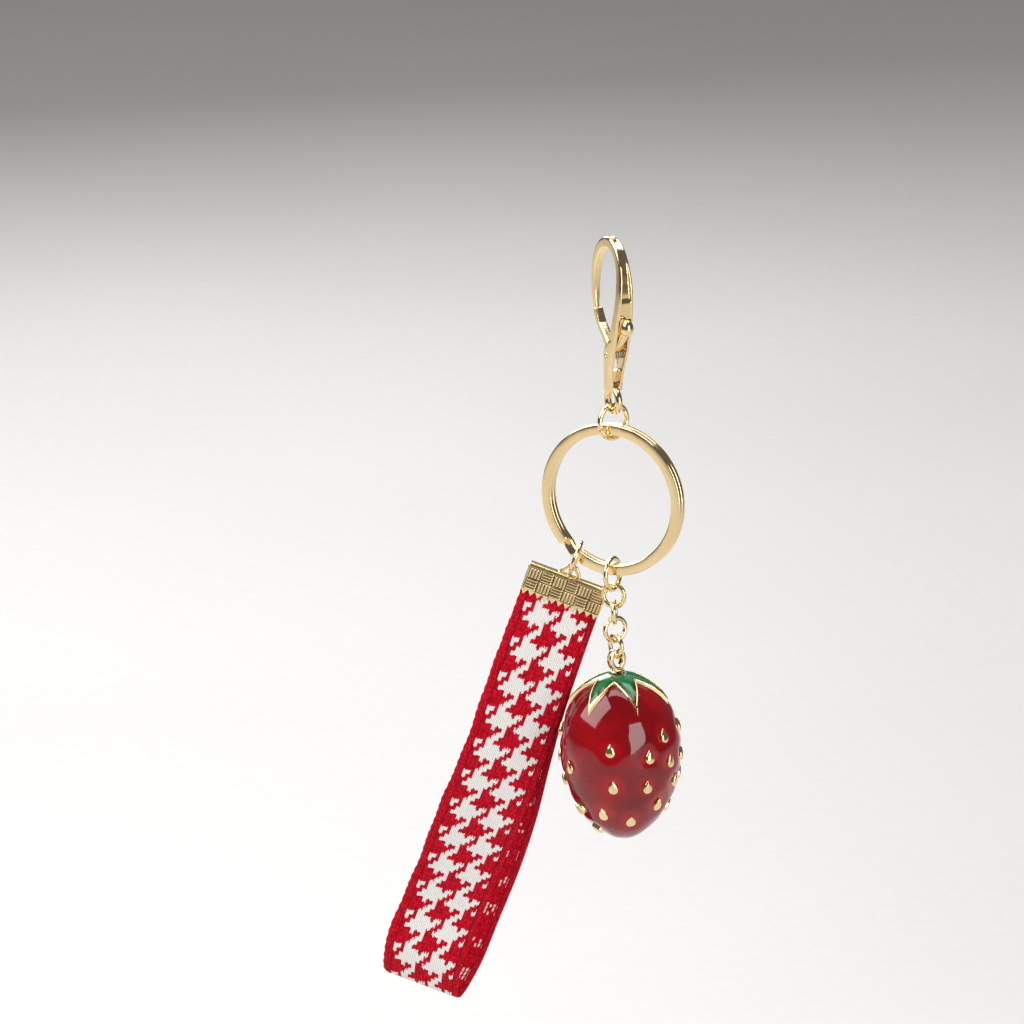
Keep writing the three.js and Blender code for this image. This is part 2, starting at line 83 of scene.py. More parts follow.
def studio_camera():
    target = Vector((0, 0, SPLIT_Z)) - side * 19.4 - upward * 2.5
    data = bpy.data.cameras.new("camera")
    data.sensor_width = SENSOR_WIDTH
    data.lens = SENSOR_WIDTH * VIEW_DISTANCE / VIEW_WIDTH
    data.clip_end = 100
    camera = bpy.data.objects.new("camera", data)
    camera.location = (target + toward * VIEW_DISTANCE) * MM
    camera.rotation_euler = toward.to_track_quat("Z", "Y").to_euler()
    bpy.context.scene.collection.objects.link(camera)
    bpy.context.scene.camera = camera


def softbox(name, right, ahead, high, width, height, watts, tint=(1, 1, 1)):
    """A soft light, placed in mm from the split ring: to the camera's right, ahead and up."""
    centre = Vector((0, 0, -70))
    level = Vector((toward.x, toward.y, 0)).normalized()
    place = centre + side * right + level * ahead + Vector((0, 0, high))
    data = bpy.data.lights.new(name, "AREA")
    data.shape = "RECTANGLE"
    data.size = width * MM
    data.size_y = height * MM
    data.energy = watts
    data.color = tint
    light = bpy.data.objects.new(name, data)
    light.location = place * MM
    light.rotation_euler = (place - centre).to_track_quat("Z", "Y").to_euler()
    bpy.context.scene.collection.objects.link(light)


studio_camera()
bpy.context.scene.view_settings.view_transform = "Standard"
softbox("key", -760, 160, 720, 1000, 800, 12, (1.0, 0.98, 0.95))
softbox("fill", 520, 820, 160, 500, 800, 6, (1.0, 0.98, 0.95))
softbox("top", 60, -160, 900, 900, 620, 7, (1.0, 1.0, 1.0))
softbox("back", -260, -900, 420, 700, 400, 5, (0.98, 0.99, 1.0))
softbox("sweep", 0, -3400, 2400, 5200, 1800, 16, (1.0, 1.0, 1.0))


# --- Shader helpers ---------------------------------------------------------------------------

class Shader:
    """A node material whose inputs take numbers, colours or other nodes' outputs."""

    def __init__(self, name):
        self.material = bpy.data.materials.new(name)
        self.material.use_nodes = True
        self.tree = self.material.node_tree
        self.surface = self.tree.nodes["Principled BSDF"]

    def put(self, socket, value):
        if isinstance(value, bpy.types.NodeSocket):
            self.tree.links.new(value, socket)
        elif isinstance(value, tuple) and len(value) == 3 and socket.type == "RGBA":
            socket.default_value = (*value, 1)
        else:
            socket.default_value = value

    def node(self, kind, output=0, settings=None, **inputs):
        made = self.tree.nodes.new("ShaderNode" + kind)
        for key, value in (settings or {}).items():
            setattr(made, key, value)
        for key, value in inputs.items():
            key = int(key[1:]) if key[0] == "i" and key[1:].isdigit() else key.replace("_", " ")
            self.put(made.inputs[key], value)
        return made.outputs[output]

    def math(self, operation, first, second=0.0, third=0.0):
        return self.node("Math", settings={"operation": operation}, i0=first, i1=second, i2=third)

    def mix(self, amount, first, second):
        return self.node("Mix", 2, {"data_type": "RGBA"}, i0=amount, i6=first, i7=second)

    def span(self, value, low, high, to_low=0.0, to_high=1.0):
        return self.node("MapRange", settings={"interpolation_type": "SMOOTHSTEP"}, Value=value,
                         From_Min=low, From_Max=high, To_Min=to_low, To_Max=to_high)

    def place(self):
        return self.node("TexCoord", "Object")

    def noise(self, scale, detail=2.0, roughness=0.5, vector=None):
        vector = vector or self.place()
        return self.node("TexNoise", Vector=vector, Scale=scale, Detail=detail, Roughness=roughness)

    def selvedge(self, across, middle):
        """1 in the furrow beside a selvedge, falling to 0 on both sides of it."""
        gap = self.math("ABSOLUTE", self.math("SUBTRACT", across, middle))
        return self.span(gap, 0.0, 0.3, 1.0, 0.0)

    def attribute(self, name, output):
        return self.node("Attribute", output, {"attribute_name": name})

    def bump(self, height, strength, distance, normal=None):
        inputs = {"Height": height, "Strength": strength, "Distance": distance}
        if normal:
            inputs["Normal"] = normal
        return self.node("Bump", **inputs)

    def finish(self, **inputs):
        for key, value in inputs.items():
            self.put(self.surface.inputs[key.replace("_", " ")], value)
        return self.material


# --- Materials --------------------------------------------------------------------------------

def polished_gold():
    """Pale gold plating over a cast or drawn piece: clear, with faint hairlines and handling haze."""
    s = Shader("polished_gold")
    place = s.place()
    stretched = s.node("Mapping", Vector=place, Scale=(2600.0, 2600.0, 500.0))
    hairlines = s.node("TexNoise", Vector=stretched, Scale=1.0, Detail=2.0)
    haze = s.noise(160.0, 3.0)
    ripple = s.noise(420.0, 1.0)
    colour = s.mix(s.span(haze, 0.35, 0.7), (0.89, 0.68, 0.37), (0.94, 0.74, 0.43))
    rough = s.math("ADD", s.span(haze, 0.4, 0.75, 0.07, 0.15), s.span(hairlines, 0.55, 0.75, 0, 0.06))
    wavy = s.bump(ripple, 0.04, 0.0004)
    normal = s.bump(hairlines, 0.05, 0.0001, wavy)
    return s.finish(Base_Color=colour, Metallic=1.0, Roughness=rough, Normal=normal)


def stamped_gold():
    """Satin gold plate pressed from sheet: bright on its ridges, brown in its hollows."""
    s = Shader("stamped_gold")
    relief = s.attribute("relief", "Fac")
    grain = s.noise(2200.0, 3.0)
    patches = s.noise(300.0, 2.0)
    worn = s.math("ADD", relief, s.span(patches, 0.3, 0.7, -0.12, 0.12))
    colour = s.mix(s.span(worn, 0.2, 0.95), (0.17, 0.10, 0.035), (0.88, 0.69, 0.37))
    rough = s.math("ADD", s.span(worn, 0.2, 0.9, 0.42, 0.20), s.span(grain, 0.4, 0.7, 0, 0.08))
    return s.finish(Base_Color=colour, Metallic=1.0, Roughness=rough,
                    Normal=s.bump(grain, 0.18, 0.00012))


def spring_steel():
    """Drawn spring wire, with fine lines along it."""
    s = Shader("spring_steel")
    lines = s.noise(3200.0, 3.0)
    patches = s.noise(500.0, 2.0)
    colour = s.mix(s.span(patches, 0.3, 0.7), (0.52, 0.50, 0.47), (0.66, 0.64, 0.61))
    rough = s.span(lines, 0.3, 0.7, 0.22, 0.38)
    return s.finish(Base_Color=colour, Metallic=1.0, Roughness=rough,
                    Normal=s.bump(lines, 0.12, 0.0001))


def red_enamel():
    """Clear deep-red enamel fired over metal: darker where it is thick, with a wet gloss."""
    s = Shader("red_enamel")
    depth = s.noise(110.0, 3.0, 0.6)
    flecks = s.noise(1500.0, 2.0)
    thin = s.attribute("thin", "Fac")
    tone = s.math("ADD", s.span(depth, 0.3, 0.75, 0, 0.45), s.math("MULTIPLY", thin, 0.7))
    colour = s.mix(tone, (0.150, 0.0006, 0.003), (0.50, 0.002, 0.007))
    rough = s.math("ADD", s.span(depth, 0.3, 0.7, 0.05, 0.10), s.span(flecks, 0.6, 0.8, 0, 0.05))
    return s.finish(Base_Color=colour, Roughness=rough, Coat_Weight=0.25, Coat_Roughness=0.03,
                    IOR=1.45, Normal=s.bump(depth, 0.12, 0.0005))


def green_enamel():
    """Green enamel pooled in the leaves: clear and bright in the middle, dark at their rims."""
    s = Shader("green_enamel")
    depth = s.noise(260.0, 3.0, 0.6)
    fine = s.noise(1600.0, 2.0)
    pooled = s.math("ADD", s.attribute("thin", "Fac"), s.span(depth, 0.3, 0.7, -0.2, 0.2))
    colour = s.mix(s.span(pooled, 0.0, 1.0), (0.0008, 0.035, 0.011), (0.003, 0.15, 0.045))
    rough = s.span(fine, 0.3, 0.8, 0.08, 0.16)
    return s.finish(Base_Color=colour, Roughness=rough, Coat_Weight=0.2, Coat_Roughness=0.04,
                    IOR=1.45, Normal=s.bump(depth, 0.15, 0.0003))


def floor_paint():
    """Plain pale floor with a faint eggshell grain."""
    s = Shader("floor_paint")
    grain = s.noise(260.0, 3.0)
    broad = s.noise(3.0, 2.0)
    colour = s.mix(s.span(broad, 0.3, 0.7), (0.55, 0.545, 0.54), (0.58, 0.575, 0.57))
    return s.finish(Base_Color=colour, Roughness=s.span(grain, 0.3, 0.7, 0.5, 0.62),
                    Normal=s.bump(grain, 0.1, 0.0004))


# The woven pattern, in threads: 8 by 8 to a check, one cell to a bundle of threads.
RIBBON_WIDTH = 16.2
CELL_ACROSS = 0.73
CELL_ALONG = 0.93
CHECK = 8
FIRST_CHECK_ACROSS = 3.9
FIRST_CHECK_ALONG = 6.9
PATTERN_LEFT = 1.75
PATTERN_RIGHT = 14.9
LEFT_SEAM = 1.65
RIGHT_SEAM = 15.05
THREAD_WANDER = 0.35
THREAD_STAGGER = 0.5
FLECKS_MISSING = 0.38


def ribbon_weave():
    """Red satin ribbon with an off-white houndstooth figure, and white flecks on its reverse."""
    s = Shader("ribbon_weave")
    strip = s.node("SeparateXYZ", 0, Vector=s.attribute("strip", "Vector")).node.outputs
    across, along, reverse = strip[0], strip[1], strip[2]
    column = s.math("DIVIDE", s.math("SUBTRACT", across, FIRST_CHECK_ACROSS), CELL_ACROSS)
    bundle = s.math("FLOOR", s.math("MULTIPLY", column, 3.0))
    stagger = s.node("TexWhiteNoise", settings={"noise_dimensions": "1D"}, W=bundle)
    ragged = s.math("MULTIPLY", s.math("SUBTRACT", stagger, 0.5), THREAD_STAGGER)
    start = s.math("ADD", FIRST_CHECK_ALONG, ragged)
    row = s.math("DIVIDE", s.math("SUBTRACT", along, start), CELL_ALONG)
    x = s.math("FLOOR", column)
    y = s.math("FLOOR", row)
    step = s.math("FLOORED_MODULO", s.math("ADD", x, y), 4.0)
    warp_up = s.math("GREATER_THAN", s.math("ABSOLUTE", s.math("SUBTRACT", step, 1.5)), 1.0)
    light_warp = s.math("LESS_THAN", s.math("FLOORED_MODULO", x, float(CHECK)), 4.0)
    light_weft = s.math("LESS_THAN", s.math("FLOORED_MODULO", y, float(CHECK)), 4.0)
    figure = s.math("ADD", s.math("MULTIPLY", warp_up, light_warp),
                    s.math("MULTIPLY", s.math("SUBTRACT", 1.0, warp_up), light_weft))
    inside = s.math("MULTIPLY", s.math("GREATER_THAN", across, PATTERN_LEFT),
                    s.math("LESS_THAN", across, PATTERN_RIGHT))
    face = s.math("MULTIPLY", s.math("MULTIPLY", figure, inside),
                  s.math("SUBTRACT", 1.0, reverse))

    # On the reverse only the tie-downs of each check show, as rows of short flecks.
    fleck_x = s.math("LESS_THAN", s.math("FLOORED_MODULO", s.math("MULTIPLY", column, 2.0), 2.0), 0.9)
    fleck_y = s.math("LESS_THAN", s.math("FLOORED_MODULO", row, 1.0), 0.8)
    cluster = s.math("MULTIPLY", s.math("SUBTRACT", 1.0, light_warp), s.math("LESS_THAN", s.math(
        "FLOORED_MODULO", s.math("ADD", y, 2.0), float(CHECK)), 3.0))
    spot = s.node("CombineXYZ", X=s.math("FLOOR", s.math("MULTIPLY", column, 2.0)), Y=y)
    missing = s.node("TexWhiteNoise", settings={"noise_dimensions": "2D"}, Vector=spot)
    cluster = s.math("MULTIPLY", cluster, s.math("GREATER_THAN", missing, FLECKS_MISSING))
    flecks = s.math("MULTIPLY", s.math("MULTIPLY", fleck_x, fleck_y), cluster)
    back = s.math("MULTIPLY", s.math("MULTIPLY", flecks, inside), reverse)
    white = s.math("MINIMUM", s.math("ADD", face, back), 1.0)

    place = s.node("CombineXYZ", X=across, Y=along)
    fuzz = s.node("TexNoise", Vector=place, Scale=9.0, Detail=3.0)
    blotch = s.node("TexNoise", Vector=place, Scale=0.8, Detail=2.0)
    wander = s.math("MULTIPLY", s.node("TexNoise", Vector=place, Scale=1.6, Detail=2.0), THREAD_WANDER)
    rib = s.math("SINE", s.math("MULTIPLY", s.math("ADD", across, wander), TAU * 2 / CELL_ACROSS))
    thread = s.math("SINE", s.math("MULTIPLY", s.math("ADD", along, wander), TAU / CELL_ALONG))
    furrow = s.span(s.node("TexNoise", Vector=s.node("CombineXYZ", X=s.math("MULTIPLY", across, 2.6),
                                                    Y=s.math("MULTIPLY", along, 0.7)),
                           Scale=1.0, Detail=3.0), 0.35, 0.65, -1.0, 1.0)
    ground = s.math("ADD", s.math("ADD", s.math("MULTIPLY", rib, 0.3), s.math("MULTIPLY", thread, 0.25)),
                    s.math("MULTIPLY", furrow, 0.6))
    seams = s.math("ADD", s.selvedge(across, LEFT_SEAM), s.selvedge(across, RIGHT_SEAM))
    ground = s.math("SUBTRACT", ground, s.math("MULTIPLY", seams, 1.4))
    lines = s.math("ADD", s.math("MULTIPLY", white, rib),
                   s.math("MULTIPLY", s.math("SUBTRACT", 1.0, white), ground))
    height = s.math("ADD", s.math("MULTIPLY", lines, 0.5), s.math("MULTIPLY", fuzz, 0.9))
    # shade darkens the red and the cream where the thread relief is low, between threads and in the
    # furrow beside each selvedge: painted shade in the weave's hollows.
    shade = s.math("ADD", s.span(lines, -1, 1, 0.0, 0.75), s.span(fuzz, 0.35, 0.65, -0.25, 0.25))
    red = s.mix(s.span(shade, 0.0, 1.0), (0.27, 0.0006, 0.006), (0.85, 0.003, 0.030))
    red = s.mix(s.span(blotch, 0.35, 0.7, 0.0, 0.25), red, (0.60, 0.001, 0.016))
    cream = s.mix(s.span(shade, 0.0, 0.8), (0.72, 0.70, 0.68), (0.99, 0.98, 0.97))
    colour = s.mix(white, red, cream)
    normal = s.bump(height, 0.6, 0.00012)
    return s.finish(Base_Color=colour, Roughness=s.span(fuzz, 0.3, 0.7, 0.62, 0.85),
                    Specular_IOR_Level=0.12, Sheen_Weight=0.02, Sheen_Roughness=0.35,
                    Normal=normal)


GOLD = polished_gold()
STAMPED = stamped_gold()
STEEL = spring_steel()
RED_ENAMEL = red_enamel()
GREEN_ENAMEL = green_enamel()
WEAVE = ribbon_weave()


# --- Meshes -----------------------------------------------------------------------------------

def piece(name, shape, where, material, body, node, slot, sharp=None, **attributes):
    """An object from points in mm and faces, on its body, in place of its CAD node."""
    points, faces = shape
    points = points @ where[:3, :3].T + where[:3, 3]
    mesh = bpy.data.meshes.new(name)
    mesh.from_pydata((points * MM).tolist(), [], [list(map(int, f)) for f in faces])
    mesh.shade_smooth()
    if sharp:
        mesh.set_sharp_from_angle(angle=math.radians(sharp))
    for key, values in attributes.items():
        values = np.asarray(values, np.float32)
        kind = "FLOAT_VECTOR" if values.ndim == 2 else "FLOAT"
        field = "vector" if values.ndim == 2 else "value"
        mesh.attributes.new(key, kind, "POINT").data.foreach_set(field, values.ravel())
    mesh.materials.append(material)
    made = bpy.data.objects.new(name, mesh)
    bpy.context.scene.collection.objects.link(made)
    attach(made, body)
    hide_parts(node)
    return made


def joined(shapes):
    """Several shapes as one."""
    points, faces, start = [], [], 0
    for some_points, some_faces in shapes:
        points.append(some_points)
        faces.extend([[corner + start for corner in face] for face in some_faces])
        start += len(some_points)
    return np.vstack(points), faces


def spline(points, count):
    """Samples along a smooth curve through given points."""
    p = np.asarray(points, float)
    p = np.vstack([2 * p[0] - p[1], p, 2 * p[-1] - p[-2]])
    gap = np.sqrt(np.linalg.norm(np.diff(p, axis=0), axis=1))[:, None]
    t = np.linspace(0, len(p) - 3, count)
    i = np.minimum(t.astype(int), len(p) - 4)
    w = (t - i)[:, None]
    a, b, c, d = p[i], p[i + 1], p[i + 2], p[i + 3]
    g0, g1, g2 = gap[i], gap[i + 1], gap[i + 2]
    leave = ((b - a) / g0 - (c - a) / (g0 + g1) + (c - b) / g1) * g1
    arrive = ((c - b) / g1 - (d - b) / (g1 + g2) + (d - c) / g2) * g1
    near = (2 * w ** 3 - 3 * w ** 2 + 1) * b + (3 * w ** 2 - 2 * w ** 3) * c
    return near + (w ** 3 - 2 * w ** 2 + w) * leave + (w ** 3 - w ** 2) * arrive


def loft(rings):
    """A closed surface through equal rings of points, capped at both ends."""
    rings = np.asarray(rings, float)
    count, sides = rings.shape[:2]
    a = np.arange((count - 1) * sides)
    b = a - a % sides + (a + 1) % sides
    walls = np.stack([a, b, b + sides, a + sides], axis=1).tolist()
    first = list(range(sides))[::-1]
    last = list(range((count - 1) * sides, count * sides))
    return rings.reshape(-1, 3), walls + [first, last]


def tube(path, radius, sides=20):
    """Round wire along a path, with softly rounded ends."""
    path = np.asarray(path, float)
    tangent = np.gradient(path, axis=0)
    tangent /= np.linalg.norm(tangent, axis=1)[:, None]
    step = np.linalg.norm(np.diff(path, axis=0), axis=1)
    arc = np.concatenate([[0], np.cumsum(step)])
    normal = np.zeros_like(path)
    guess = np.array([0.0, 1.0, 0.0]) if abs(tangent[0, 1]) < 0.9 else np.array([1.0, 0.0, 0.0])
    for i, along in enumerate(tangent):
        guess = guess - along * guess.dot(along)
        guess /= np.linalg.norm(guess)
        normal[i] = guess
    across = np.cross(tangent, normal)
    edge = 0.25 * radius
    from_end = np.minimum(arc, arc[-1] - arc)
    inset = np.clip(1 - from_end / edge, 0, 1)
    size = radius - edge * (1 - np.sqrt(1 - inset ** 2))
    turn = np.arange(sides) * TAU / sides
    spokes = (normal[:, None] * np.cos(turn)[None, :, None]
              + across[:, None] * np.sin(turn)[None, :, None])
    return loft(path[:, None] + spokes * size[:, None, None])


def outline_distance(points, x, z):
    """Distance to a closed outline, negative inside it."""
    x, z = np.broadcast_arrays(x, z)
    nearest = np.full(x.shape, np.inf)
    inside = np.zeros(x.shape, bool)
    for (ax, az), (bx, bz) in zip(points, points[1:] + points[:1]):
        ex, ez = bx - ax, bz - az
        px, pz = x - ax, z - az
        t = np.clip((px * ex + pz * ez) / (ex * ex + ez * ez), 0, 1)
        nearest = np.minimum(nearest, np.hypot(px - t * ex, pz - t * ez))
        if ez:
            inside ^= ((az > z) != (bz > z)) & (px < ex * pz / ez)
    return np.where(inside, -nearest, nearest)


def smooth_min(a, b, blend):
    h = np.clip(0.5 + 0.5 * (b - a) / blend, 0, 1)
    return b * (1 - h) + a * h - blend * h * (1 - h)


def smooth_max(a, b, blend):
    return -smooth_min(-a, -b, blend)


def rounded(a, b, radius):
    """What lies inside both a and b, with their edge rounded."""
    outside = np.hypot(np.maximum(a + radius, 0), np.maximum(b + radius, 0))
    return outside + np.minimum(np.maximum(a, b) + radius, 0) - radius


def smoothstep(value, low, high):
    t = np.clip((value - low) / (high - low), 0, 1)
    return t * t * (3 - 2 * t)


def iso_mesh(field, low, high, step):
    """The surface where field is 0, as quads, with its points moved onto that surface."""
    axes = [np.arange(a - 2 * step, b + 3 * step, step) for a, b in zip(low, high)]
    grid = np.meshgrid(*axes, indexing="ij", sparse=True)
    shape = tuple(len(axis) for axis in axes)
    value = np.broadcast_to(field(*grid), shape)
    inside = value < 0
    cells = tuple(n - 1 for n in shape)
    corners = [(i, j, k) for i in (0, 1) for j in (0, 1) for k in (0, 1)]

    def corner(array, at):
        return array[tuple(slice(o, o + n) for o, n in zip(at, cells))]

    count = sum(corner(inside, at).astype(np.int8) for at in corners)
    active = np.argwhere((count > 0) & (count < 8))
    number = np.full(cells, -1, np.int64)
    number[tuple(active.T)] = np.arange(len(active))
    total = np.zeros((len(active), 3))
    crossings = np.zeros(len(active))
    for at in corners:
        for axis in range(3):
            if at[axis]:
                continue
            end = tuple(o + (1 if n == axis else 0) for n, o in enumerate(at))
            v0 = value[tuple((active + at).T)]
            v1 = value[tuple((active + end).T)]
            cross = (v0 < 0) != (v1 < 0)
            t = np.where(cross, v0 / np.where(cross, v0 - v1, 1), 0)
            spot = np.asarray(at, float) + t[:, None] * np.eye(3)[axis]
            total += np.where(cross[:, None], spot, 0)
            crossings += cross
    points = (active + total / crossings[:, None]) * step + [axis[0] for axis in axes]

    quads = []
    for axis in range(3):
        u, v = (axis + 1) % 3, (axis + 2) % 3
        near = [slice(1, n - 1) for n in shape]
        near[axis] = slice(0, shape[axis] - 1)
        far = list(near)
        far[axis] = slice(1, shape[axis])
        changes = inside[tuple(near)] != inside[tuple(far)]
        base = np.argwhere(changes)
        outward = inside[tuple(near)][changes]
        base = base + [0 if n == axis else 1 for n in range(3)]
        ring = []
        for du, dv in ((1, 1), (0, 1), (0, 0), (1, 0)):
            cell = base.copy()
            cell[:, u] -= du
            cell[:, v] -= dv
            ring.append(number[tuple(cell.T)])
        ring = np.stack(ring, axis=1)
        quads.append(np.where(outward[:, None], ring, ring[:, ::-1]))
    quads = np.vstack(quads)

    probe = step / 4
    for _ in range(3):
        x, y, z = points.T
        value = field(x, y, z)
        slope = np.stack([
            field(x + probe, y, z) - field(x - probe, y, z),
            field(x, y + probe, z) - field(x, y - probe, z),
            field(x, y, z + probe) - field(x, y, z - probe),
        ], axis=1) / (2 * probe)
        size = np.maximum((slope ** 2).sum(axis=1), 0.05)
        move = -(value / size)[:, None] * slope
        length = np.linalg.norm(move, axis=1)[:, None]
        points = points + move * np.minimum(1, 0.5 * step / np.maximum(length, 1e-9))
    return points, quads


# --- Lobster clasp: x runs from its spine to its gate, z up -----------------------------------

PIVOT_X, PIVOT_Z = -0.3, -20.3
SLOT_HALF = 1.15
CHEEK_HALF = 1.75
EYE_Z, EYE_RADIUS, EYE_BAR = -29.5, 2.2, 0.7

# Stations up the spine and over the hook: x, z, half depth in the plane, half width.
HOOK = np.array([
    [0.1, -27.6, 1.25, 1.1], [-0.5, -24, 1.3, 1.45], [-1.5, -20, 1.35, 1.75],
    [-2.7, -16, 1.25, 1.8], [-3.7, -12, 1.1, 1.7], [-4.2, -7.5, 1.0, 1.5],
    [-3.6, -3.2, 0.95, 1.2], [-1.6, 0.1, 1.0, 1.05], [1.0, 1.25, 1.1, 1.0],
    [3.9, 0.3, 1.0, 0.95], [6.2, -2.8, 0.9, 0.85], [7.1, -7, 0.78, 0.72],
    [7.1, -10.5, 0.7, 0.65], [6.8, -12.9, 0.5, 0.5],
])
HOOK_SAMPLES = 360
hook_line = spline(HOOK[:, :2], HOOK_SAMPLES)
hook_size = spline(HOOK[:, 2:], HOOK_SAMPLES)
hook_along = np.gradient(hook_line, axis=0)
hook_along /= np.linalg.norm(hook_along, axis=1)[:, None]
hook_arc = np.concatenate([[0], np.cumsum(np.linalg.norm(np.diff(hook_line, axis=0), axis=1))])


def hook_coordinates(x, z):
    """Height out from the hook's middle line, distance past its ends, arc and section sizes."""
    x, z = np.broadcast_arrays(x, z)
    flat = np.stack([x.ravel(), z.ravel()], axis=1)
    nearest = np.empty(len(flat), int)
    for start in range(0, len(flat), 20000):
        part = flat[start:start + 20000]
        gap = ((part[:, None] - hook_line[None]) ** 2).sum(axis=2)
        nearest[start:start + 20000] = gap.argmin(axis=1)
    offset = flat - hook_line[nearest]
    along = hook_along[nearest]
    ahead = (offset * along).sum(axis=1)
    out = -offset[:, 0] * along[:, 1] + offset[:, 1] * along[:, 0]
    arc = hook_arc[nearest] + ahead
    depth = np.interp(arc, hook_arc, hook_size[:, 0])
    width = np.interp(arc, hook_arc, hook_size[:, 1])
    past = np.maximum(-arc, arc - hook_arc[-1])
    return [values.reshape(x.shape) for values in (out, past, arc, depth, width)]


def arc_at(height):
    """Arc along the hook where its spine passes a height."""
    spine = hook_line[:, 1][:HOOK_SAMPLES // 2]
    return float(np.interp(height, spine, hook_arc[:HOOK_SAMPLES // 2]))


CHEEKS = [(-2.4, -17.2), (-0.9, -17.6), (0.6, -18.8), (1.1, -20.3), (1.0, -22.4),
          (0.9, -25.2), (0.8, -27.6), (-0.7, -27.6), (-1.3, -23.5), (-2.2, -20)]
SLOT = [(-1.5, -15.8), (4, -15.8), (4, -23.6), (-0.9, -23.6), (-1.55, -22.4), (-1.7, -20.3), (-1.7, -19)]
LEVER_REACH = 9
LEVER_HIGH, LEVER_LOW = math.radians(115), math.radians(158)
WINDOW = [(PIVOT_X - 0.84, PIVOT_Z - 0.7), (PIVOT_X + 0.2, PIVOT_Z + 1.3)] + [
    (PIVOT_X + LEVER_REACH * math.cos(a), PIVOT_Z + LEVER_REACH * math.sin(a))
    for a in (LEVER_HIGH, LEVER_LOW)]
UPPER_GROOVE = (arc_at(-9.4), arc_at(0.6))
LOWER_GROOVE = (arc_at(-26.8), arc_at(-17.8))


def clasp_field(x, y, z):
    out, past, arc, depth, width = hook_coordinates(x, z)
    wide = np.abs(y)
    bar = rounded(np.abs(out) - depth, wide - width, 0.42)
    bar = rounded(bar, past, 0.35)
    upper = smoothstep(arc, UPPER_GROOVE[0], UPPER_GROOVE[0] + 0.9)
    upper = upper * (1 - smoothstep(arc, UPPER_GROOVE[1] - 5, UPPER_GROOVE[1]))
    lower = smoothstep(arc, LOWER_GROOVE[0], LOWER_GROOVE[0] + 1.2)
    lower = lower * (1 - smoothstep(arc, LOWER_GROOVE[1] - 0.8, LOWER_GROOVE[1]))
    bed = np.maximum(wide - (width - 0.62), depth - 0.55 * upper - 1.05 * lower - out)
    cheeks = rounded(outline_distance(CHEEKS, x, z), wide - CHEEK_HALF, 0.4)
    body = smooth_min(bar, cheeks, 0.35)
    body = smooth_max(body, -bed, 0.22)
    ring = np.hypot(x, z - EYE_Z) - EYE_RADIUS
    eye = np.hypot(ring, y) - EYE_BAR
    body = smooth_min(body, eye, 0.25)
    slot = rounded(outline_distance(SLOT, x, z), wide - SLOT_HALF, 0.1)
    window = rounded(outline_distance(WINDOW, x, z), wide - SLOT_HALF, 0.1)
    body = smooth_max(body, -np.minimum(slot, window), 0.16)
    hole = np.hypot(x - PIVOT_X, z - PIVOT_Z) - 0.5
    return smooth_max(body, -hole, 0.08)


TRIGGER = [
    (PIVOT_X + 1.05, PIVOT_Z - 0.3), (PIVOT_X + 1.35, PIVOT_Z + 0.6), (5.2, -15.2),
    (6.3, -13.3), (6.1, -12.5), (5.4, -12.4), (4.9, -13.3), (3.9, -14.9),
    (PIVOT_X, PIVOT_Z + 1.3), (-5.2, -13.8), (-6, -14.4), (PIVOT_X - 1, PIVOT_Z + 0.15),
    (PIVOT_X - 0.75, PIVOT_Z - 0.75), (PIVOT_X + 0.2, PIVOT_Z - 1.05),
]
THUMB = (-5.7, 0.15, -14.1)
THUMB_SIZE = (1.2, 1.2, 1.62)

# The pin's rounded end: how far it stands past the cheek, and its radius there.
PIN_SIDES = 32
PIN_END = [(0.12, 0.12), (0.10, 0.3), (0.03, 0.42), (-0.07, 0.45)]
SPRING_RADIUS, SPRING_PITCH, SPRING_TURNS = 0.95, 0.36, 2 + 38 / 360
SPRING_LEG, SPRING_START, SPRING_WIRE_RADIUS = 1.8, -0.22, 0.13
GATE_LINE = np.array([0.617, 0, 0.787])


def trigger_field(x, y, z):
    plate = rounded(outline_distance(TRIGGER, x, z) - 0.05, np.abs(y - 0.15) - 0.88, 0.3)
    egg = THUMB_SIZE[0] * (1 - 0.07 * (z - THUMB[2]))
    ball = np.sqrt(((x - THUMB[0]) / egg) ** 2 + ((y - THUMB[1]) / egg) ** 2
                   + ((z - THUMB[2]) / THUMB_SIZE[2]) ** 2) - 1
    gate = smooth_min(plate, ball * THUMB_SIZE[0], 0.45)
    hub = np.hypot(x - PIVOT_X, z - PIVOT_Z)
    seat = rounded(hub - 1.75, np.abs(y + 0.75) - 0.8, 0.1)
    gate = smooth_max(gate, -seat, 0.08)
    return smooth_max(gate, -(hub - 0.55), 0.06)


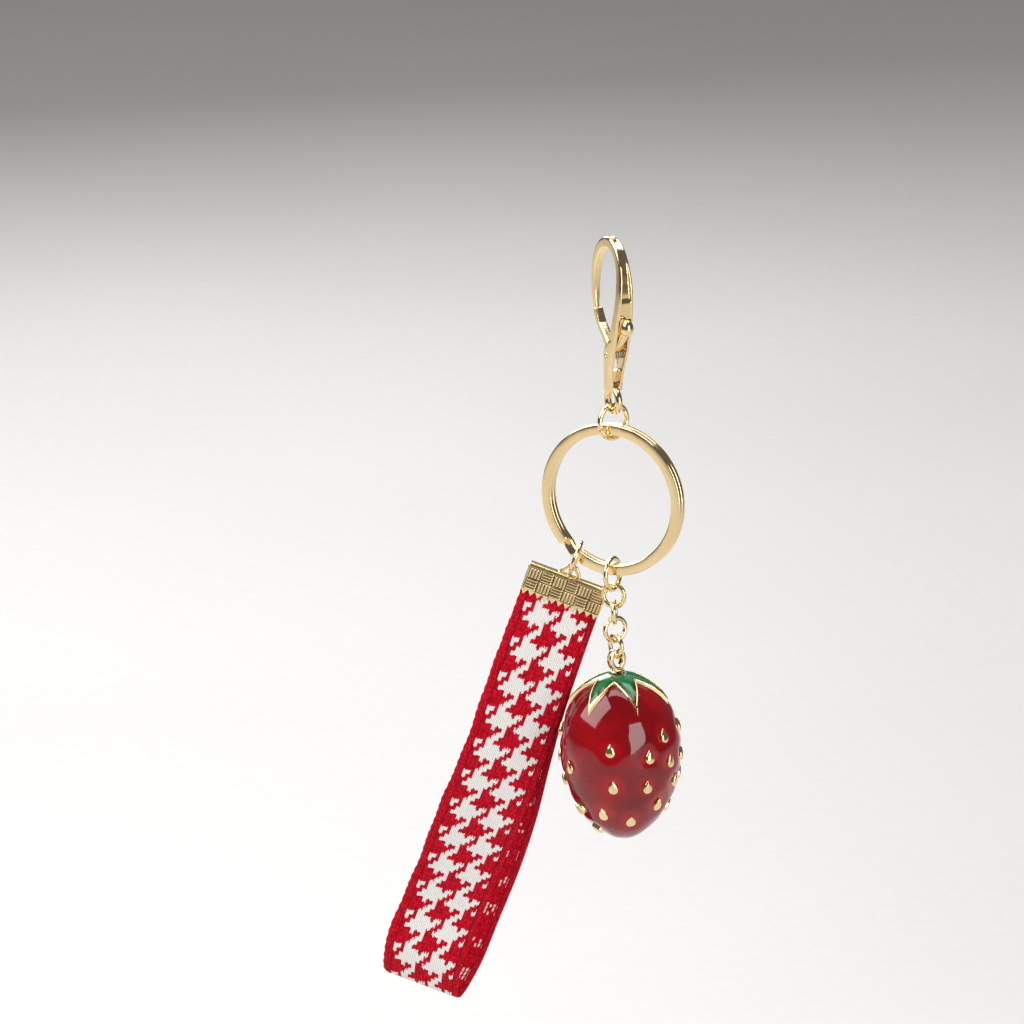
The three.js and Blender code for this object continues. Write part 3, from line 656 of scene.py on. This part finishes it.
def clasp_pieces():
    body = iso_mesh(clasp_field, (-7.4, -2.2, -32.7), (8.3, 2.2, 2.5), 0.125)
    piece("clasp_body_cast", body, CLASP, GOLD, "clasp", "clasp_body", "polished_gold")
    trigger = iso_mesh(trigger_field, (-8.8, -1.3, -20.9), (6.7, 1.5, -12), 0.11)
    piece("clasp_trigger_cast", trigger, CLASP, GOLD, "trigger", "clasp_trigger", "polished_gold")
    turn = np.arange(PIN_SIDES) * TAU / PIN_SIDES
    profile = [(-CHEEK_HALF - past, r) for past, r in PIN_END]
    profile += [(CHEEK_HALF + past, r) for past, r in reversed(PIN_END)]
    rings = []
    for y, r in profile:
        level = np.full(PIN_SIDES, y)
        rings.append(np.stack([PIVOT_X + r * np.sin(turn), level, PIVOT_Z + r * np.cos(turn)], axis=1))
    piece("pivot_pin_peened", loft(rings), CLASP, GOLD, "clasp", "clasp_pivot_pin", "polished_gold")
    t = np.linspace(0, 1, 160)
    angle = math.pi - SPRING_TURNS * TAU * t
    coil = np.stack([PIVOT_X + SPRING_RADIUS * np.cos(angle),
                     SPRING_START - SPRING_PITCH * SPRING_TURNS * t,
                     PIVOT_Z + SPRING_RADIUS * np.sin(angle)], axis=1)
    foot = [PIVOT_X - SPRING_RADIUS, SPRING_START, PIVOT_Z - SPRING_LEG]
    body_leg = np.linspace(foot, coil[0], 12)[:-1]
    gate_leg = np.linspace(coil[-1], coil[-1] + GATE_LINE * SPRING_LEG, 12)[1:]
    wound = tube(np.vstack([body_leg, coil, gate_leg]), SPRING_WIRE_RADIUS, 12)
    piece("torsion_spring_wound", wound, CLASP, STEEL, "clasp", "clasp_spring", "spring_steel")


# --- Rings and links --------------------------------------------------------------------------

CLEARANCE = 0.1
SLIT = 0.09


def open_ring(outside, wire, joint, spread):
    """A jump ring of round wire in X and Z, its cut ends at an angle from the top."""
    radius = (outside - wire) / 2
    slit = SLIT / radius
    count = 120
    angle = math.radians(joint) + slit / 2 + np.linspace(0, TAU - slit, count)
    offset = spread * np.linspace(-0.5, 0.5, count) ** 3 * 4
    path = np.stack([np.sin(angle) * radius, offset, np.cos(angle) * radius], axis=1)
    return tube(path, wire / 2, 24)


# Outside diameter, wire, yaw, joint, and how far a ring's ends sit apart sideways.
CLASP_RING = (7.6, 1.0, 66, 250, 0.07)
RIBBON_RING = (7.0, 0.9, 90, 235, 0.06)

# The same for the chain, after the name of each node and its body.
CHAIN_RINGS = [
    ("charm_jump_ring", "charm_ring", 7.0, 0.9, 90, 60, 0.06),
    ("chain_link_1", "link_1", 5.4, 0.9, 0, 75, 0.05),
    ("chain_link_2", "link_2", 5.1, 0.9, 113, 75, -0.05),
    ("chain_link_3", "link_3", 5.5, 0.9, 60, 190, 0.08),
    ("chain_link_4", "link_4", 5.1, 0.9, -30, 75, 0.04),
]
SPLIT_REST = 1.6


def ring_pieces():
    outside, wire, yaw, joint, spread = CLASP_RING
    centre = EYE_Z - EYE_RADIUS + EYE_BAR + wire / 2 + CLEARANCE - (outside - wire) / 2
    piece("clasp_ring_wire", open_ring(outside, wire, joint, spread),
          moved(0, 0, centre) @ turned("Z", yaw), GOLD, "top_ring", "clasp_jump_ring",
          "polished_gold", sharp=40)
    outside, wire, yaw, joint, spread = RIBBON_RING
    hang = SPLIT_REST - (outside / 2 - wire)
    piece("ribbon_ring_wire", open_ring(outside, wire, joint, spread),
          TAG @ moved(0, 0, hang) @ turned("Z", yaw), GOLD, "tag_ring", "ribbon_jump_ring",
          "polished_gold", sharp=40)
    pivot = None
    for node, body, outside, wire, yaw, joint, spread in CHAIN_RINGS:
        radius = (outside - wire) / 2
        if pivot is None:
            height = SPLIT_REST - (outside / 2 - wire)
        else:
            height = pivot + wire + CLEARANCE - radius
        where = CHAIN @ moved(0, 0, height) @ turned("Z", yaw)
        piece(node + "_wire", open_ring(outside, wire, joint, spread), where, GOLD, body, node,
              "polished_gold", sharp=40)
        pivot = height - radius


# Flat wire, its rounded edges, the distance between coils, and the degrees its step and ends take.
SPLIT_WIDTH, SPLIT_THICKNESS, SPLIT_EDGE, COIL_PITCH = 2.1, 1.08, 0.27, 1.16
STEP_SPAN, END_GAP = 14, 2


def split_ring():
    """Flat wire wound twice, stepping from the front coil to the back one."""
    corner = np.linspace(0, math.pi / 2, 5)
    flat_x, flat_y = SPLIT_WIDTH / 2 - SPLIT_EDGE, SPLIT_THICKNESS / 2 - SPLIT_EDGE
    section = []
    for k, (sx, sy) in enumerate(((1, 1), (-1, 1), (-1, -1), (1, -1))):
        for a in corner + k * math.pi / 2:
            section.append((flat_x * sx + SPLIT_EDGE * math.cos(a),
                            flat_y * sy + SPLIT_EDGE * math.sin(a)))
    first, last = STEP_START + STEP_SPAN, STEP_START + 720 - END_GAP
    degrees = np.linspace(first, last, 620)
    stepped = smoothstep(degrees, STEP_START + 360, first + 360)
    from_end = np.minimum(degrees - first, last - degrees) * math.radians(SPLIT_RADIUS)
    chamfer = 0.12 * np.clip(1 - from_end / 0.25, 0, 1)
    rings = []
    for angle, layer, small in zip(np.radians(degrees), (stepped - 0.5) * COIL_PITCH, chamfer):
        rings.append([(-math.sin(angle) * (SPLIT_RADIUS + out * (1 - small)),
                       layer + across * (1 - small),
                       -math.cos(angle) * (SPLIT_RADIUS + out * (1 - small)))
                      for out, across in section])
    piece("split_ring_wound", loft(rings), moved(0, 0, SPLIT_Z), GOLD, "key_ring", "split_ring",
          "polished_gold", sharp=50)


# --- Ribbon clamp -----------------------------------------------------------------------------

CLAMP_WIDTH, CLAMP_HEIGHT, CLAMP_DEPTH, CLAMP_PLATE = 16, 5.4, 2.5, 0.36
TEETH, TOOTH_LENGTH = 11, 1.2
RIBBON_RING_CENTRE = SPLIT_REST - 2.6
CLAMP_PIVOT = RIBBON_RING_CENTRE - 3.05
CLAMP_TOP = CLAMP_PIVOT - 0.75
CLAMP_BOTTOM = CLAMP_TOP - CLAMP_HEIGHT
BLOCKS_ACROSS, BLOCKS_DOWN = 6, 2
RIBS = 4
EMBOSS = 0.2


def clamp_relief(x, z):
    """Basket weave pressed into the plates: blocks of ribs, upright and level in turn."""
    left, right = -CLAMP_WIDTH / 2 + 0.3, CLAMP_WIDTH / 2 - 0.3
    top, bottom = CLAMP_TOP - 0.75, CLAMP_BOTTOM + 0.1
    u = (x - left) / (right - left) * BLOCKS_ACROSS
    v = (top - z) / (top - bottom) * BLOCKS_DOWN
    upright = (np.floor(u) + np.floor(v)) % 2 < 1
    across = np.where(upright, u, v) % 1
    lengthwise = np.where(upright, v, u) % 1
    rib = np.abs(np.sin(math.pi * RIBS * across)) ** 0.6
    ends = smoothstep(np.minimum(lengthwise, 1 - lengthwise), 0.0, 0.12)
    shown = ((u > 0) & (u < BLOCKS_ACROSS) & (v > 0) & (v < BLOCKS_DOWN))
    return np.where(shown, rib * ends, 0.75)


def clamp_outline():
    side, tooth = CLAMP_WIDTH / 2, CLAMP_WIDTH / TEETH
    points = [(side, CLAMP_TOP + 1), (-side, CLAMP_TOP + 1)]
    for i in range(TEETH):
        points.append((-side + i * tooth, CLAMP_BOTTOM))
        points.append((-side + (i + 0.5) * tooth, CLAMP_BOTTOM - TOOTH_LENGTH))
    return points + [(side, CLAMP_BOTTOM)]


CLAMP_OUTLINE = clamp_outline()
ARCH_TOP = CLAMP_PIVOT + 0.55
ARCH = [(-2.3, CLAMP_TOP - 0.3), (2.3, CLAMP_TOP - 0.3), (1.95, CLAMP_TOP + 0.9),
        (1.0, ARCH_TOP + 0.8), (-1.0, ARCH_TOP + 0.8), (-1.95, CLAMP_TOP + 0.9)]
ARCH_HOLE = [(-1.35, CLAMP_TOP + 0.05), (1.35, CLAMP_TOP + 0.05), (1.1, CLAMP_TOP + 0.75),
             (0.55, ARCH_TOP), (-0.55, ARCH_TOP), (-1.1, CLAMP_TOP + 0.75)]


def clamp_field(x, y, z):
    half = CLAMP_DEPTH / 2
    lean = 0.3 * smoothstep(-z, -CLAMP_BOTTOM - 0.3, -CLAMP_BOTTOM + TOOTH_LENGTH)
    wide = np.abs(y) + lean
    face = half - EMBOSS * (1 - clamp_relief(x, z))
    outer = rounded(wide - face, z - CLAMP_TOP, 0.7)
    inner = rounded(wide - (half - CLAMP_PLATE), z - (CLAMP_TOP - CLAMP_PLATE), 0.4)
    sheet = np.maximum(outer, -inner)
    body = rounded(sheet, outline_distance(CLAMP_OUTLINE, x, z), 0.08)
    arch = rounded(outline_distance(ARCH, x, z), np.abs(y) - 0.35, 0.2)
    hole = outline_distance(ARCH_HOLE, x, z)
    arch = smooth_max(arch, -hole, 0.15)
    return smooth_min(body, arch, 0.15)


def clamp_piece():
    low = (-8.1, -1.35, CLAMP_BOTTOM - 1.3)
    high = (8.1, 1.35, ARCH_TOP + 0.9)
    points, quads = iso_mesh(clamp_field, low, high, 0.1)
    x, y, z = points.T
    outside = np.abs(y) > CLAMP_DEPTH / 2 - EMBOSS - 0.06
    relief = np.where(outside, clamp_relief(x, z), 0.2)
    relief = np.where((z < CLAMP_BOTTOM + 0.1) | (z > CLAMP_TOP - 0.5), 0.95, relief)
    relief = np.where(np.abs(x) > CLAMP_WIDTH / 2 - 0.3, 0.95, relief)
    piece("ribbon_clamp_stamped", (points, quads), TAG, STAMPED, "ribbon_tag", "ribbon_clamp",
          "stamped_gold", relief=relief)


# --- Ribbon -----------------------------------------------------------------------------------

# The front layer from its side: drop below the clamp's top, how far back it has curled,
# how far behind it the back layer hangs, and how far that layer has slipped to the right.
RIBBON_SIDE = [
    (0.9, 0, 0.9, 0), (4, 0, 0.9, 0), (7.4, 0, 0.9, 0), (15, -0.5, 1.4, 0), (27, -0.7, 3.2, 0.2),
    (40, 0.6, 6.0, 1.2), (53, 4.0, 8.0, 2.6), (66, 8.6, 8.8, 3.4), (79, 12.4, 8.6, 3.4),
    (89.5, 12.8, 7.6, 3.0),
]
RIBBON_FOLD_DROP = 95.5
RIBBON_THICKNESS = 0.7
EDGE_INSET = 0.3
CURL_TURN = math.radians(8)
LAYER_HALF = 0.45


def ribbon_line(count):
    """The strip's middle line, down the front layer and up the back one."""
    def at(drop, back, gap, slip):
        return (slip - math.sin(CURL_TURN) * back, math.cos(CURL_TURN) * back + gap, CLAMP_TOP - drop)

    points = [at(drop, back, -LAYER_HALF, 0) for drop, back, _, _ in RIBBON_SIDE]
    _, foot_back, foot_gap, foot_slip = RIBBON_SIDE[-1]
    points.append(at(RIBBON_FOLD_DROP, foot_back - 0.3, foot_gap / 2 - LAYER_HALF, foot_slip / 2))
    points += [at(drop, back, gap - LAYER_HALF, slip) for drop, back, gap, slip in reversed(RIBBON_SIDE)]
    dense = spline(points, 4000)
    arc = np.concatenate([[0], np.cumsum(np.linalg.norm(np.diff(dense, axis=0), axis=1))])
    wanted = np.linspace(0, arc[-1], count)
    line = np.stack([np.interp(wanted, arc, dense[:, k]) for k in range(3)], axis=1)
    return line, wanted


def figure_at(across, along):
    """1 where the off-white figure shows on the ribbon's face."""
    x = np.floor((across - FIRST_CHECK_ACROSS) / CELL_ACROSS)
    y = np.floor((along - FIRST_CHECK_ALONG) / CELL_ALONG)
    warp_up = np.abs((x + y) % 4 - 1.5) > 1
    light = np.where(warp_up, x % CHECK < 4, y % CHECK < 4)
    return light & (across > PATTERN_LEFT) & (across < PATTERN_RIGHT)


def ribbon_relief(across, along, reverse):
    """Height of the weave: raised floats, a roped left selvedge and a smooth right one."""
    u = (across - FIRST_CHECK_ACROSS) / CELL_ACROSS % 1
    v = (along - FIRST_CHECK_ALONG) / CELL_ALONG % 1
    cell = np.sin(math.pi * u) * np.sin(math.pi * v)
    raised = np.where(figure_at(across, along) & ~reverse, 0.08, 0.03 * cell)
    twist = np.sin(TAU * (along / 1.3 + 0.25 * np.sin(TAU * along / 7.1)))
    rope = np.exp(-((across - 0.85) / 0.45) ** 2) * (0.16 + 0.07 * twist)
    hem = np.exp(-((across - 15.6) / 0.4) ** 2) * (0.07 + 0.04 * twist)
    return raised + rope + hem


def ribbon_piece():
    across_count, along_count = 67, 640
    line, arc = ribbon_line(along_count)
    across = np.linspace(0, RIBBON_WIDTH, across_count)
    tangent = np.gradient(line, axis=0)
    tangent /= np.linalg.norm(tangent, axis=1)[:, None]
    outward = np.cross(np.array([1.0, 0, 0]), tangent)
    outward /= np.linalg.norm(outward, axis=1)[:, None]
    outward *= np.sign((outward * [0, -1, 0]).sum(axis=1)[0])
    waver = 0.07 * np.sin(TAU * arc / 1.9) + 0.16 * np.sin(TAU * arc / 31) + 0.08 * np.sin(TAU * arc / 11)
    rings, strip = [], []
    thin_edge = np.sqrt(np.clip(1 - ((across - RIBBON_WIDTH / 2) / (RIBBON_WIDTH / 2)) ** 10, 0, 1))
    for i in range(along_count):
        for_face = []
        for reverse in (False, True):
            own = across[::-1] if reverse else across
            thin = thin_edge[::-1] if reverse else thin_edge
            height = ribbon_relief(own, np.full(across_count, arc[i]), np.full(across_count, reverse))
            lift = (RIBBON_THICKNESS / 2 - 0.05) * (0.25 + 0.75 * thin) + height * thin
            shift = own * (1 - EDGE_INSET / RIBBON_WIDTH) - RIBBON_WIDTH / 2
            shift = shift + waver[i] * np.where(own < 2, 1 - own / 2, 0)
            lift = -lift if reverse else lift
            spot = line[i] + np.outer(shift, [1, 0, 0]) + np.outer(lift, outward[i])
            for_face.append(spot)
            strip.append(np.stack([own, np.full(across_count, arc[i]),
                                   np.full(across_count, float(reverse))], axis=1))
        rings.append(np.vstack(for_face))
    made = piece("houndstooth_ribbon", loft(rings), TAG, WEAVE, "ribbon_tag", "ribbon_loop",
                 "ribbon_weave", strip=np.vstack(strip))


# --- Strawberry: its own frame starts at the berry's top, with x to its front -----------------

BERRY_RADIUS, BERRY_HEIGHT, BERRY_TAPER = 11.8, 33, 0.11
SKIN_INSET = 0.16
SEPALS, SEPAL_START = 6, 22
# Drop below the top and turn from the front, for one half of the berry; the other is the same.
SEEDS = [
    (10.7, 48), (10.5, 88), (12.2, -10), (14.1, 28), (15.9, 54), (16, 82),
    (16.6, -58), (19.7, -9), (20.2, 26), (20.4, -88), (20.6, 68), (24.6, 44),
    (25.3, -61), (25.9, -26), (26.8, -90), (27.5, 10), (30.4, -66),
]


def berry_radius(cosine, offset=0.0):
    sine = np.sqrt(np.clip(1 - cosine ** 2, 0, 1))
    return (BERRY_RADIUS + offset) * sine * (1 + BERRY_TAPER * cosine)


def berry_level(x, y, z):
    """About how far a point lies outside the berry's surface."""
    up = (z + BERRY_HEIGHT / 2) / (BERRY_HEIGHT / 2)
    out = np.hypot(x, y) / (BERRY_RADIUS * (1 + BERRY_TAPER * np.clip(up, -1.1, 1.1)))
    length = np.sqrt(out ** 2 + up ** 2)
    slope = np.sqrt((out / BERRY_RADIUS) ** 2 + (up / (BERRY_HEIGHT / 2)) ** 2) / np.maximum(length, 1e-6)
    return (length - 1) / np.maximum(slope, 1e-6)


def seed_frames():
    """Place, normal, sideways and upward directions of every seed on the berry's surface."""
    made = []
    for half in (0, 180):
        for drop, turn in SEEDS:
            cosine = 1 - 2 * drop / BERRY_HEIGHT
            sine = math.sqrt(1 - cosine ** 2)
            angle = math.radians(turn + half)
            out = float(berry_radius(np.array(cosine)))
            level = np.array([math.cos(angle), math.sin(angle), 0])
            normal = level * sine / BERRY_RADIUS + np.array([0, 0, 2 * cosine / BERRY_HEIGHT])
            normal /= np.linalg.norm(normal)
            sideways = np.array([-math.sin(angle), math.cos(angle), 0])
            made.append((level * out + [0, 0, -drop], normal, sideways, np.cross(normal, sideways)))
    return made


SEED_FRAMES = seed_frames()


def berry_skin():
    """The enamelled skin: dimpled round each seed, with slow swells between them."""
    around, down = 320, 260
    polar = np.linspace(0.002, math.pi - 0.002, down)
    turn = np.arange(around) * TAU / around
    cosine = np.cos(polar)[:, None]
    out = berry_radius(cosine)
    x, y = out * np.cos(turn), out * np.sin(turn)
    z = -BERRY_HEIGHT / 2 + BERRY_HEIGHT / 2 * cosine + 0 * x
    points = np.stack([x, y, z], axis=2)
    normal = np.stack([np.sin(polar)[:, None] * np.cos(turn) / BERRY_RADIUS,
                       np.sin(polar)[:, None] * np.sin(turn) / BERRY_RADIUS,
                       2 * cosine / BERRY_HEIGHT + 0 * x], axis=2)
    normal /= np.linalg.norm(normal, axis=2)[:, :, None]
    lift = 0.10 * np.sin(3 * turn + 1.1) * np.sin(2.6 * polar[:, None] + 0.7)
    lift = lift + 0.07 * np.sin(5 * turn + 2.7 * polar[:, None]) * np.sin(4.1 * polar[:, None])
    thin = np.zeros(lift.shape)
    for place, *_ in SEED_FRAMES:
        gap = np.linalg.norm(points - place, axis=2)
        lift = lift - 0.24 * np.exp(-(gap / 2.0) ** 2) + 0.06 * np.exp(-((gap - 3.4) / 1.3) ** 2)
        thin = np.maximum(thin, np.exp(-(gap / 1.9) ** 2))
    return (points + normal * (lift - SKIN_INSET)[:, :, None]), thin


SEED_HALF_WIDTH, SEED_HALF_HEIGHT, SEED_RISE, SEED_ROOT = 0.95, 1.4, 0.42, 0.75


def seed_shape(place, normal, sideways, upward):
    """A raised teardrop, point up."""
    around, rows = 28, 9
    turn = np.arange(around) * TAU / around
    drop_x = np.sin(turn) * np.abs(np.sin(turn / 2)) / 0.77
    drop_y = np.cos(turn)
    rings = []
    for k in range(rows):
        rise = math.sin(k / (rows - 1) * math.pi / 2)
        shrink = max(math.sqrt(1 - rise ** 2), 0.03)
        height = SEED_RISE * rise - 0.02
        rings.append([place + sideways * (SEED_HALF_WIDTH * a * shrink)
                      + upward * (SEED_HALF_HEIGHT * b * shrink - 0.12 * rise)
                      + normal * height for a, b in zip(drop_x, drop_y)])
    base = [place + sideways * SEED_HALF_WIDTH * a + upward * SEED_HALF_HEIGHT * b - normal * SEED_ROOT
            for a, b in zip(drop_x, drop_y)]
    return loft([base] + rings)


STAR = [(-30, 4.3), (-18, 5.8), (-9, 7.5), (0, 9.7), (9, 7.5), (18, 5.8)]


def star_outline():
    points = []
    for i in range(SEPALS):
        for turn, radius in STAR:
            angle = math.radians(SEPAL_START + i * 360 / SEPALS + turn)
            points.append((radius * math.cos(angle), radius * math.sin(angle)))
    return points


STAR_OUTLINE = star_outline()
COLLAR_RADIUS = 1.5
RIM_INSET, RIM_RADIUS = 0.12, 0.17
LEAF_REACH = 8.5


def leaf_bow(x, y):
    """How far the leaves stand off the berry: a little more at their tips."""
    return 0.16 * smoothstep(np.hypot(x, y), 5, 9.6)


def rim_field(x, y, z):
    star = outline_distance(STAR_OUTLINE, x, y)
    level = berry_level(x, y, z) - leaf_bow(x, y)
    rim = np.hypot(star + RIM_INSET, level - 0.2) - RIM_RADIUS
    skirt = rounded(np.abs(star + RIM_INSET) - 0.15, np.abs(level + 0.2) - 0.4, 0.1)
    return np.maximum(smooth_min(rim, skirt, 0.1), -(z + LEAF_REACH))


def leaf_field(x, y, z):
    star = outline_distance(STAR_OUTLINE, x, y)
    level = berry_level(x, y, z) - leaf_bow(x, y)
    pooled = 0.30 + 0.06 * smoothstep(-star, 0.2, 1.2)
    green = rounded(star + 0.2, np.abs(level + 0.05) - pooled, 0.06)
    green = np.maximum(green, -(z + LEAF_REACH))
    return smooth_max(green, COLLAR_RADIUS + 0.08 - np.hypot(x, y), 0.1)


def strawberry_pieces():
    skin, thin = berry_skin()
    piece("berry_red_enamel", loft(skin[::-1]), CHARM, RED_ENAMEL, "strawberry", "red_enamel",
          "red_enamel", thin=thin[::-1].ravel())
    seeds = joined([seed_shape(*seed) for seed in SEED_FRAMES])
    piece("berry_seeds", seeds, CHARM, GOLD, "strawberry", "strawberry_casting", "polished_gold",
          sharp=60)
    reach = (-9.9, -9.9, -6.6), (9.9, 9.9, 0.6)
    rims = iso_mesh(rim_field, *reach, 0.12)
    piece("leaf_rims", rims, CHARM, GOLD, "strawberry", "strawberry_casting", "polished_gold")
    points, quads = iso_mesh(leaf_field, *reach, 0.15)
    star = outline_distance(STAR_OUTLINE, points[:, 0], points[:, 1])
    piece("leaf_green_enamel", (points, quads), CHARM, GREEN_ENAMEL, "strawberry", "calyx_enamel",
          "green_enamel", thin=smoothstep(-star, 0.2, 1.4))
    low, high = (-2.1, -1.05, -1.2), (2.1, 1.05, 5.3)
    bail = iso_mesh(bail_field, low, high, 0.07)
    piece("bail_cast", bail, CHARM @ turned("Z", 122), GOLD, "strawberry", "strawberry_bail",
          "polished_gold")


BAIL_HOLE_X, BAIL_HOLE_Z, BAIL_WIRE, BAIL_CENTRE = 0.9, 1.25, 1.0, 2.87


def bail_field(x, y, z):
    dz = z - BAIL_CENTRE
    mid_x, mid_z = BAIL_HOLE_X + BAIL_WIRE / 2, BAIL_HOLE_Z + BAIL_WIRE / 2
    around = np.sqrt((x / mid_x) ** 2 + (dz / mid_z) ** 2)
    slope = np.sqrt((x / mid_x ** 2) ** 2 + (dz / mid_z ** 2) ** 2) / np.maximum(around, 1e-6)
    off = np.abs(around - 1) / np.maximum(slope, 1e-6)
    loop = rounded(off - BAIL_WIRE / 2, np.abs(y) - 0.75, 0.38)
    collar = rounded(np.hypot(x, y) - COLLAR_RADIUS, np.abs(z - 0.5) - 0.32, 0.26)
    peg = rounded(np.hypot(x, y) - 0.8, np.abs(z + 0.3) - 0.8, 0.1)
    return smooth_min(smooth_min(loop, collar, 0.3), peg, 0.2)


def floor_piece():
    mesh = bpy.data.meshes.new("floor")
    corners = [(x * FLOOR_REACH * MM, y * FLOOR_REACH * MM, FLOOR_Z * MM)
               for x, y in ((-1, -1), (1, -1), (1, 1), (-1, 1))]
    mesh.from_pydata(corners, [], [(0, 1, 2, 3)])
    mesh.materials.append(floor_paint())
    floor = bpy.data.objects.new("floor", mesh)
    bpy.context.scene.collection.objects.link(floor)


def studio_world():
    """A dim, even surround, so that polished metal has something dark to show."""
    world = bpy.data.worlds.new("studio")
    world.use_nodes = True
    background = world.node_tree.nodes["Background"]
    background.inputs["Color"].default_value = (0.80, 0.78, 0.76, 1)
    background.inputs["Strength"].default_value = 0.16
    bpy.context.scene.world = world


studio_world()
floor_piece()
clasp_pieces()
ring_pieces()
split_ring()
clamp_piece()
ribbon_piece()
strawberry_pieces()
